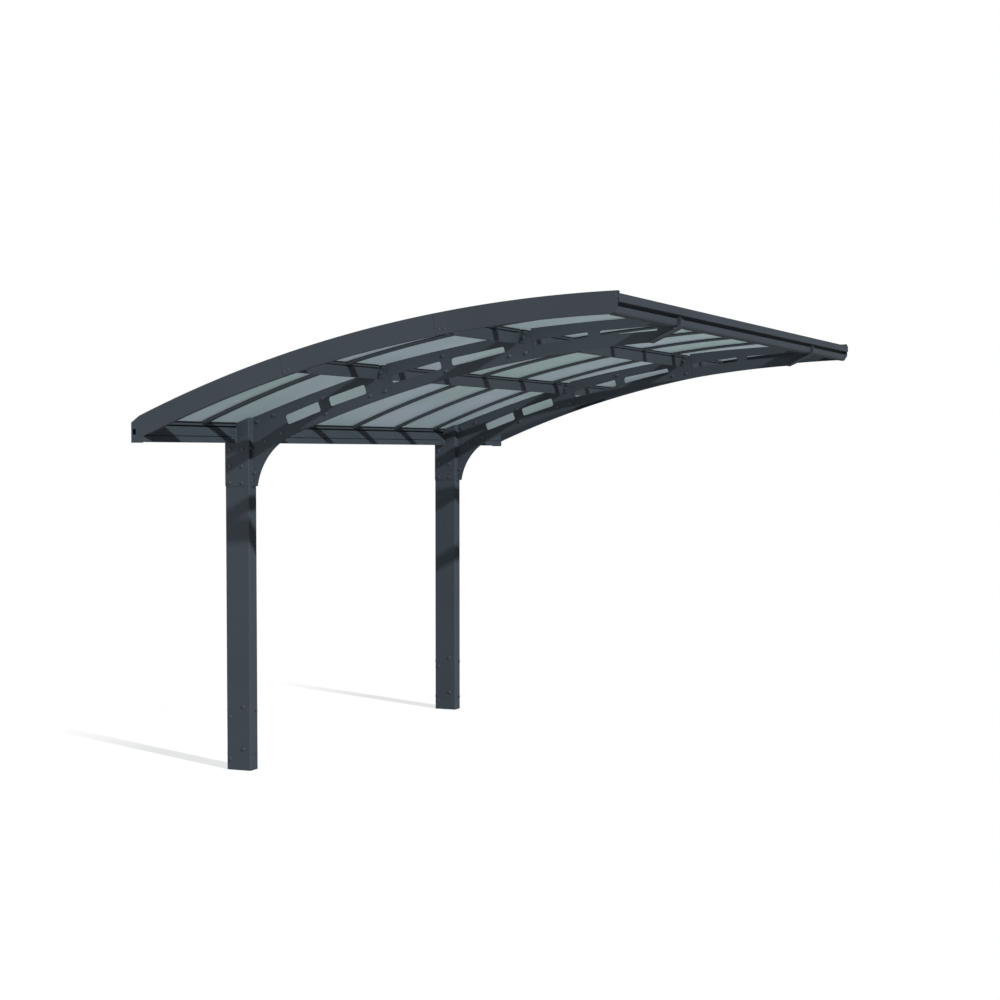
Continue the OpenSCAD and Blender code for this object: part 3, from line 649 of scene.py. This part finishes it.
def add_cheek(bm, low, high, rail_foot):
    """A cheek along a bent bracket's near edge, from nothing at its sole's end up past its top."""
    outer_r = BRACKET_BEND_R + BRACKET_T
    slope = math.atan2(rail_foot - low.z - BRACKET_T, high.x - BRACKET_T - low.x)
    down = Vector((math.sin(slope), 0, -math.cos(slope)))
    bend = Vector((high.x - outer_r, low.y, 0))
    bend.z = (low.z + BRACKET_T + (bend.x + BRACKET_BEND_R * down.x - low.x) * math.tan(slope)
              - BRACKET_BEND_R * down.z)
    start = Vector((low.x + BRACKET_T * down.x, low.y, low.z))
    inner, outer = (bm.verts.new(start + down * d) for d in (0.0, CHEEK_START_D))
    turn_in, turn_out = (bm.verts.new(bend + down * d) for d in (outer_r, outer_r + CHEEK_D))
    bm.faces.new((inner, outer, turn_out, turn_in))
    edge = bm.edges.get((turn_in, turn_out))
    bent = bmesh.ops.spin(
        bm, geom=[edge, turn_in, turn_out], cent=bend, axis=(0, 1, 0),
        angle=slope - math.pi / 2, steps=CHEEK_BEND_STEPS, use_merge=False, use_duplicate=False)
    last = [g for g in bent["geom_last"] if isinstance(g, bmesh.types.BMEdge)]
    raised = bmesh.ops.extrude_edge_only(bm, edges=last)["geom"]
    tops = [g for g in raised if isinstance(g, bmesh.types.BMVert)]
    bmesh.ops.translate(bm, verts=tops, vec=(0, 0, high.z + CHEEK_RISE - tops[0].co.z))
    block = bmesh.ops.extrude_face_region(bm, geom=bm.faces[:], use_keep_orig=True)["geom"]
    bmesh.ops.translate(
        bm, verts=[g for g in block if isinstance(g, bmesh.types.BMVert)], vec=(0, CHEEK_T, 0))


def arms():
    """Names and mid-plane y of the two arms."""
    return [
        (which, (box_of(which + "_post")[0].y + box_of(which + "_post")[1].y) / 2)
        for which in ("near", "far")
    ]


def bar_middles():
    """Mid-plane y of each glazing bar and its cap."""
    low, high = box_of("bar_caps")
    pitch = (high.y - low.y - CAP_W) / (BAR_COUNT - 1)
    return [low.y + CAP_W / 2 + i * pitch for i in range(BAR_COUNT)]


class CarportOperator:
    """Shared settings of the operators."""
    bl_options = {"REGISTER", "UNDO"}


# ---- Pieces ----

class CARPORT_OT_root_bolts(CarportOperator, bpy.types.Operator):
    """Bolts of the arms' roots on the posts and the low beam, and through their two webs."""
    bl_idname = "carport.root_bolts"
    bl_label = "Arm root bolts"

    def execute(self, context):
        sizes = context.scene.carport_bolts
        roof = context.scene.carport_frame
        for which, mid in arms():
            post_low, post_high = box_of(which + "_post")
            bm = bmesh.new()
            for i, (dx, z) in enumerate(SIDE_BOLTS):
                x = post_low.x + dx
                add_bolt(bm, sizes, Vector((x, post_low.y - roof.wall, z)), -Y_AXIS, turn=0.4 * i)
                add_bolt(bm, sizes, Vector((x, post_high.y + roof.wall, z)), Y_AXIS, turn=0.3 * i)
            strip_x = post_high.x + roof.wall
            for z in STRIP_BOLT_Z:
                for side in (-1, 1):
                    point = Vector((strip_x, mid + side * STRIP_BOLT_Y, z))
                    add_bolt(bm, sizes, point, X_AXIS, turn=z * 9)
            web = box_of(which + "_arm_middle_left")[0].y
            grip = 2 * (mid - web)
            for i, (dx, depth) in enumerate(WEB_BOLTS):
                point = web_point(roof, post_low.x + dx, depth, web)
                add_bolt(bm, sizes, point, -Y_AXIS, grip, 0.5 * i)
            beam_low, beam_high = box_of("low_beam")
            for out, rise in FLAP_BOLTS:
                for side in (-1, 1):
                    y = mid + side * ((post_high.y - post_low.y) / 2 + roof.wall + out)
                    point = Vector((beam_high.x + roof.wall, y, beam_low.z + rise))
                    add_bolt(bm, sizes, point, X_AXIS, turn=rise)
            finished(which + "_arm_root_bolts", bm, coated_bolt)
        return {"FINISHED"}


class CARPORT_OT_joint_bolts(CarportOperator, bpy.types.Operator):
    """Bolts through the arms' joints and splice plates."""
    bl_idname = "carport.joint_bolts"
    bl_label = "Arm joint bolts"

    def execute(self, context):
        sizes = context.scene.carport_bolts
        roof = context.scene.carport_frame
        for which, mid in arms():
            post_low = box_of(which + "_post")[0]
            web = box_of(which + "_arm_middle_left")[0].y
            bm = bmesh.new()
            for i, (dx, depth) in enumerate(JOINT_BOLTS):
                point = web_point(roof, post_low.x + dx, depth, web)
                add_bolt(bm, sizes, point, -Y_AXIS, 2 * (mid - web), 0.7 * i)
            finished(which + "_arm_joint_bolts", bm, coated_bolt)
        return {"FINISHED"}


class CARPORT_OT_foot_bolts(CarportOperator, bpy.types.Operator):
    """Bolts through the post feet into the base shoes."""
    bl_idname = "carport.foot_bolts"
    bl_label = "Post foot bolts"

    def execute(self, context):
        sizes = context.scene.carport_bolts
        for which, mid in arms():
            low, high = box_of(which + "_post")
            bm = bmesh.new()
            for i, (dx, z) in enumerate(FOOT_BOLTS):
                add_bolt(bm, sizes, Vector((low.x + dx, low.y, z)), -Y_AXIS, turn=0.4 * i)
                add_bolt(bm, sizes, Vector((low.x + dx, high.y, z)), Y_AXIS, turn=0.6 * i)
            for i, z in enumerate(FOOT_END_Z):
                add_bolt(bm, sizes, Vector((high.x, mid + FOOT_END_Y, z)), X_AXIS, turn=0.5 * i)
                add_bolt(bm, sizes, Vector((low.x, mid - FOOT_END_Y, z)), -X_AXIS, turn=0.2 * i)
            finished(which + "_post_foot_bolts", bm, coated_bolt)
        return {"FINISHED"}


class CARPORT_OT_anchors(CarportOperator, bpy.types.Operator):
    """Ground anchors inside the shoes: stud ends, nuts and washers on the sole plates."""
    bl_idname = "carport.anchors"
    bl_label = "Ground anchors"

    def execute(self, context):
        sizes = context.scene.carport_bolts
        for mount in frame["record"]["mounts"]:
            if mount["kind"] != "bolt_pattern":
                continue
            x0, y0, _ = mount["pos_m"]
            dims = mount["dims"]
            half_x, half_y = dims["spacing_x_mm"] / 2000, dims["spacing_y_mm"] / 2000
            washer_top = SOLE_T + sizes.washer_t
            bm = bmesh.new()
            for sx in (-1, 1):
                for sy in (-1, 1):
                    place = Matrix.Translation((x0 + sx * half_x, y0 + sy * half_y, 0))
                    add_cylinder(
                        bm, place, ANCHOR_D, ANCHOR_FOOT, ANCHOR_TOP, STUD_SIDES, STUD_EDGE)
                    add_cylinder(
                        bm, place, ANCHOR_WASHER_D, SOLE_T, washer_top, WASHER_SIDES, WASHER_EDGE)
                    add_cylinder(
                        bm, place, ANCHOR_NUT_D, washer_top, SOLE_T + ANCHOR_NUT_H, 6, HEX_EDGE)
            finished(mount["name"] + "_hardware", bm, galvanised)
        return {"FINISHED"}


class CARPORT_OT_cleat_bolts(CarportOperator, bpy.types.Operator):
    """Bolts through the purlins' cleats into the arms' webs."""
    bl_idname = "carport.cleat_bolts"
    bl_label = "Purlin cleat bolts"

    def execute(self, context):
        bolts = context.scene.carport_bolts
        roof = context.scene.carport_frame
        for which, mid in arms():
            post_low = box_of(which + "_post")[0]
            web = box_of(which + "_arm_middle_left")[0].y
            bm = bmesh.new()
            for dx, depth in CLEAT_BOLTS:
                for side in (-1, 1):
                    y = mid + side * (mid - web + CLEAT_T)
                    point = web_point(roof, post_low.x + dx, depth, y)
                    add_bolt(bm, bolts, point, side * Y_AXIS, turn=0.3)
            finished(which + "_arm_cleat_bolts", bm, coated_bolt)
        return {"FINISHED"}


class CARPORT_OT_bracket_cheeks(CarportOperator, bpy.types.Operator):
    """A cheek that stiffens the near edge of each arm's end bracket."""
    bl_idname = "carport.bracket_cheeks"
    bl_label = "End bracket cheeks"

    def execute(self, context):
        rail_foot = box_of("front_rail")[0].z
        for which, _ in arms():
            low, high = box_of(which + "_arm_end_bracket")
            bm = bmesh.new()
            add_cheek(bm, low, high, rail_foot)
            finished(which + "_arm_bracket_cheek", bm, powder_coat)
        return {"FINISHED"}


class CARPORT_OT_fascia_screws(CarportOperator, bpy.types.Operator):
    """Screws beside the fascias' seams and at their high ends."""
    bl_idname = "carport.fascia_screws"
    bl_label = "Fascia screws"

    def execute(self, context):
        sizes = context.scene.carport_screws
        roof = context.scene.carport_frame
        for which, side in (("near", -1), ("far", 1)):
            low, high = box_of(which + "_fascia_middle")
            y = low.y if side < 0 else high.y
            end = box_of(which + "_fascia_high")[1]
            bm = bmesh.new()
            for seam in (low.x, high.x):
                for shift in SEAM_SCREWS:
                    point = roof_point(roof, seam + shift, SEAM_SCREW_H)
                    add_screw(bm, sizes, Vector((point.x, y, point.z)), side * Y_AXIS)
            point = roof_point(roof, end.x - END_SCREW_IN, END_SCREW_H)
            add_screw(bm, sizes, Vector((point.x, y, point.z)), side * Y_AXIS)
            finished(which + "_fascia_screws", bm, coated_bolt)
        return {"FINISHED"}


class CARPORT_OT_fascia_joiners(CarportOperator, bpy.types.Operator):
    """Plates behind the fascias' seams."""
    bl_idname = "carport.fascia_joiners"
    bl_label = "Fascia joiners"

    def execute(self, context):
        sizes = context.scene.carport_frame
        for which, side in (("near", 1), ("far", -1)):
            low, high = box_of(which + "_fascia_middle")
            face = (low.y if side > 0 else high.y) + side * sizes.wall
            bm = bmesh.new()
            for seam in (low.x, high.x):
                y0, y1 = sorted((face, face + side * JOINER_T))
                add_strip(
                    bm, sizes, JOINER_STEPS, block_profile(*JOINER_EDGES, y0, y1),
                    seam - JOINER_HALF_L, seam + JOINER_HALF_L)
            finished(which + "_fascia_joiners", bm, powder_coat)
        return {"FINISHED"}


class CARPORT_OT_panel_seals(CarportOperator, bpy.types.Operator):
    """Rubber strips under the panels' low edge, along the bars, on the purlins and fascias."""
    bl_idname = "carport.panel_seals"
    bl_label = "Panel seals"

    def execute(self, context):
        sizes = context.scene.carport_frame
        seals = context.scene.carport_seals
        beam_low, beam_high = box_of("low_beam")
        under = roof_point(sizes, beam_high.x, 0.0)
        bm = bmesh.new()
        add_block(
            bm, Vector((beam_high.x - LOW_SEAL[0], beam_low.y, beam_high.z)),
            Vector((beam_high.x - LOW_SEAL[1], beam_high.y, under.z - LOW_SEAL_GAP)))
        finished("low_edge_seal", bm, rubber)

        bars_high = box_of("glazing_bars")[1]
        bm = bmesh.new()
        for mid in bar_middles():
            for side in (-1, 1):
                y0, y1 = sorted(
                    (mid + side * BAR_HALF_W, mid + side * (BAR_HALF_W + seals.lip_w)))
                add_strip(
                    bm, sizes, seals.steps, block_profile(-seals.lip_h, 0.0, y0, y1),
                    beam_high.x + BAR_SEAL_ENDS[0], bars_high.x - BAR_SEAL_ENDS[1])
        finished("bar_seals", bm, rubber)

        for row in ("lower", "upper"):
            bm = bmesh.new()
            for bay in ("near", "middle", "far"):
                low, high = box_of(row + "_purlin_" + bay)
                add_strip(
                    bm, sizes, PURLIN_SEAL_STEPS,
                    block_profile(*PURLIN_SEAL_EDGES, low.y, high.y),
                    high.x - PURLIN_SEAL[0], high.x - PURLIN_SEAL[1])
            finished(row + "_purlin_seals", bm, rubber)

        for which, side in (("near", 1), ("far", -1)):
            low, high = box_of(which + "_fascia_middle")
            face = (low.y if side > 0 else high.y) + side * sizes.wall
            y0, y1 = sorted(face + side * d for d in EDGE_SEAL)
            bm = bmesh.new()
            add_strip(
                bm, sizes, seals.steps,
                block_profile(sizes.panel_thickness, sizes.panel_thickness + seals.edge_h, y0, y1),
                beam_high.x + EDGE_SEAL_START, bars_high.x)
            finished(which + "_edge_seal", bm, rubber)
        return {"FINISHED"}


class CARPORT_OT_cap_screws(CarportOperator, bpy.types.Operator):
    """Screws along the tops of the glazing caps."""
    bl_idname = "carport.cap_screws"
    bl_label = "Cap screws"

    def execute(self, context):
        sizes = context.scene.carport_screws
        roof = context.scene.carport_frame
        low, high = box_of("bar_caps")
        run = high.x - low.x - 2 * CAP_END
        count = int(run / sizes.cap_pitch)
        step = run / count
        bm = bmesh.new()
        for y in bar_middles():
            for k in range(count + 1):
                x = low.x + CAP_END + k * step
                point = roof_point(roof, x, roof.panel_thickness + CAP_T)
                tilt = roof_tilt(roof, x)
                add_screw(
                    bm, sizes, Vector((point.x, y, point.z)),
                    Vector((-math.sin(tilt), 0, math.cos(tilt))))
        finished("cap_screws", bm, coated_bolt)
        return {"FINISHED"}


class CARPORT_OT_repaint(CarportOperator, bpy.types.Operator):
    """Gives every CAD node the finish of its material slot."""
    bl_idname = "carport.repaint"
    bl_label = "Finishes"

    def execute(self, context):
        slots = {s["node"]: s["material_slot"] for s in frame["record"]["subparts"]}
        for name, obj in frame["nodes"].items():
            slot = slots.get(name)
            if slot not in SLOT_FINISH:
                raise RuntimeError("no finish for " + name)
            obj.data.materials.clear()
            obj.data.materials.append(finish_of(SLOT_FINISH[slot]))
        return {"FINISHED"}


class CARPORT_OT_stage(CarportOperator, bpy.types.Operator):
    """Floor, sun, front and back lights, even fill and camera."""
    bl_idname = "carport.stage"
    bl_label = "Studio"

    def execute(self, context):
        stage = context.scene.carport_stage
        colours = context.scene.carport_colours
        bm = bmesh.new()
        bmesh.ops.create_grid(bm, x_segments=1, y_segments=1, size=stage.floor_size / 2)
        bmesh.ops.translate(bm, verts=bm.verts, vec=(0, 0, CAD_BOX[0][2] - FLOOR_GAP))
        mesh = bpy.data.meshes.new("studio_floor")
        bm.to_mesh(mesh)
        bm.free()
        floor = bpy.data.objects.new("studio_floor", mesh)
        context.scene.collection.objects.link(floor)
        mesh.materials.append(white_floor(colours, stage))

        lamp = bpy.data.lights.new("studio_sun", "SUN")
        lamp.energy = stage.sun_strength
        lamp.angle = stage.sun_angle
        sun = bpy.data.objects.new("studio_sun", lamp)
        sun.rotation_euler = Vector(stage.sun_travel).to_track_quat("-Z", "Y").to_euler()
        context.scene.collection.objects.link(sun)

        soft = bpy.data.lights.new("studio_front", "AREA")
        soft.energy = stage.front_power
        soft.size = stage.front_size
        front = bpy.data.objects.new("studio_front", soft)
        front.location = stage.front_place
        aim = Vector(stage.front_aim) - Vector(stage.front_place)
        front.rotation_euler = aim.to_track_quat("-Z", "Y").to_euler()
        context.scene.collection.objects.link(front)

        even = bpy.data.lights.new("studio_back", "SUN")
        even.energy = stage.back_strength
        even.angle = stage.back_angle
        even.use_shadow = False
        back = bpy.data.objects.new("studio_back", even)
        back.rotation_euler = Vector(stage.back_travel).to_track_quat("-Z", "Y").to_euler()
        context.scene.collection.objects.link(back)

        world = bpy.data.worlds.new("studio_world")
        world.use_nodes = True
        tree = world.node_tree
        tree.nodes.clear()
        out = add(tree, "ShaderNodeOutputWorld")
        ray = add(tree, "ShaderNodeLightPath")
        # A slightly cool sky lights the carport, and the camera sees plain white behind it.
        fill = add(
            tree, "ShaderNodeBackground", {"Color": colours.sky, "Strength": stage.fill})
        white = add(
            tree, "ShaderNodeBackground", {"Color": colours.backdrop, "Strength": 1.0})
        mix = add(tree, "ShaderNodeMixShader", links={
            0: ray.outputs["Is Camera Ray"], 1: fill.outputs[0], 2: white.outputs[0]})
        tree.links.new(mix.outputs[0], out.inputs["Surface"])
        context.scene.world = world

        lens = bpy.data.cameras.new("studio_camera")
        lens.sensor_width = 36.0
        lens.lens = stage.camera_lens
        lens.shift_y = stage.camera_rise
        lens.clip_end = 500.0
        camera = bpy.data.objects.new("studio_camera", lens)
        camera.location = stage.camera_place
        camera.rotation_euler = stage.camera_turn
        context.scene.collection.objects.link(camera)
        context.scene.camera = camera
        context.scene.view_settings.view_transform = "Standard"
        return {"FINISHED"}


class CARPORT_PT_panel(bpy.types.Panel):
    """Lists the carport's pieces and their sizes."""
    bl_idname = "CARPORT_PT_panel"
    bl_label = "Carport"
    bl_space_type = "VIEW_3D"
    bl_region_type = "UI"
    bl_category = "Carport"

    def draw(self, context):
        for operator in OPERATORS:
            self.layout.operator(operator.bl_idname)
        for group in GROUPS:
            self.layout.label(text=group.__doc__)
            settings = getattr(context.scene, GROUPS[group])
            for name in group.__annotations__:
                self.layout.prop(settings, name)


GROUPS = {
    CarportColours: "carport_colours",
    CarportFrameSizes: "carport_frame",
    CarportBoltSizes: "carport_bolts",
    CarportScrewSizes: "carport_screws",
    CarportSealSizes: "carport_seals",
    CarportStage: "carport_stage",
}
OPERATORS = [
    CARPORT_OT_repaint, CARPORT_OT_root_bolts, CARPORT_OT_joint_bolts, CARPORT_OT_foot_bolts,
    CARPORT_OT_anchors, CARPORT_OT_cleat_bolts, CARPORT_OT_bracket_cheeks,
    CARPORT_OT_fascia_screws, CARPORT_OT_fascia_joiners, CARPORT_OT_panel_seals,
    CARPORT_OT_cap_screws, CARPORT_OT_stage,
]


def register():
    for group, name in GROUPS.items():
        bpy.utils.register_class(group)
        setattr(bpy.types.Scene, name, PointerProperty(type=group))
    for operator in OPERATORS:
        bpy.utils.register_class(operator)
    bpy.utils.register_class(CARPORT_PT_panel)


def unregister():
    bpy.utils.unregister_class(CARPORT_PT_panel)
    for operator in reversed(OPERATORS):
        bpy.utils.unregister_class(operator)
    for group, name in reversed(list(GROUPS.items())):
        delattr(bpy.types.Scene, name)
        bpy.utils.unregister_class(group)


def main():
    register()
    for operator in OPERATORS:
        group, name = operator.bl_idname.split(".")
        getattr(getattr(bpy.ops, group), name)()


if __name__ == "__main__":
    main()
